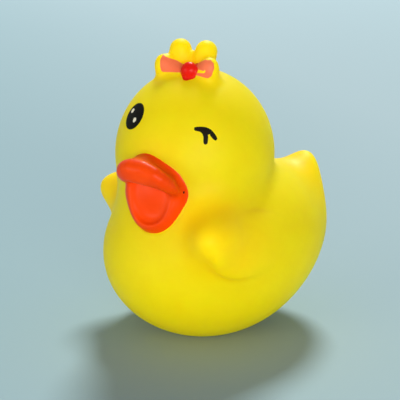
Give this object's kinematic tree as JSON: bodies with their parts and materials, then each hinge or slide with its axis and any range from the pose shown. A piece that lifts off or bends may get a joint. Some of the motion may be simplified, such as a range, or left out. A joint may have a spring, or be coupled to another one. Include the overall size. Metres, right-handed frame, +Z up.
{
  "type": "rubber duck",
  "caption": "Small hollow vinyl duck that stands on a flat base, with its head turned, its bill open, an eye winking, raised wing stubs, and a bow and tufts on top of its head.",
  "frame": {"origin": "on the floor under the middle of the duck's box, at the height of its flat base", "axes": "+Z up from the base to the tufts; -Y is where the body faces, and the tail points to +Y; +X is the duck's left side"},
  "size_m": [0.0432, 0.0448, 0.0531],
  "materials": {
    "vinyl": "satin"
  },
  "bodies": {
    "root": {"duck": "vinyl"}
  },
  "joints": []
}
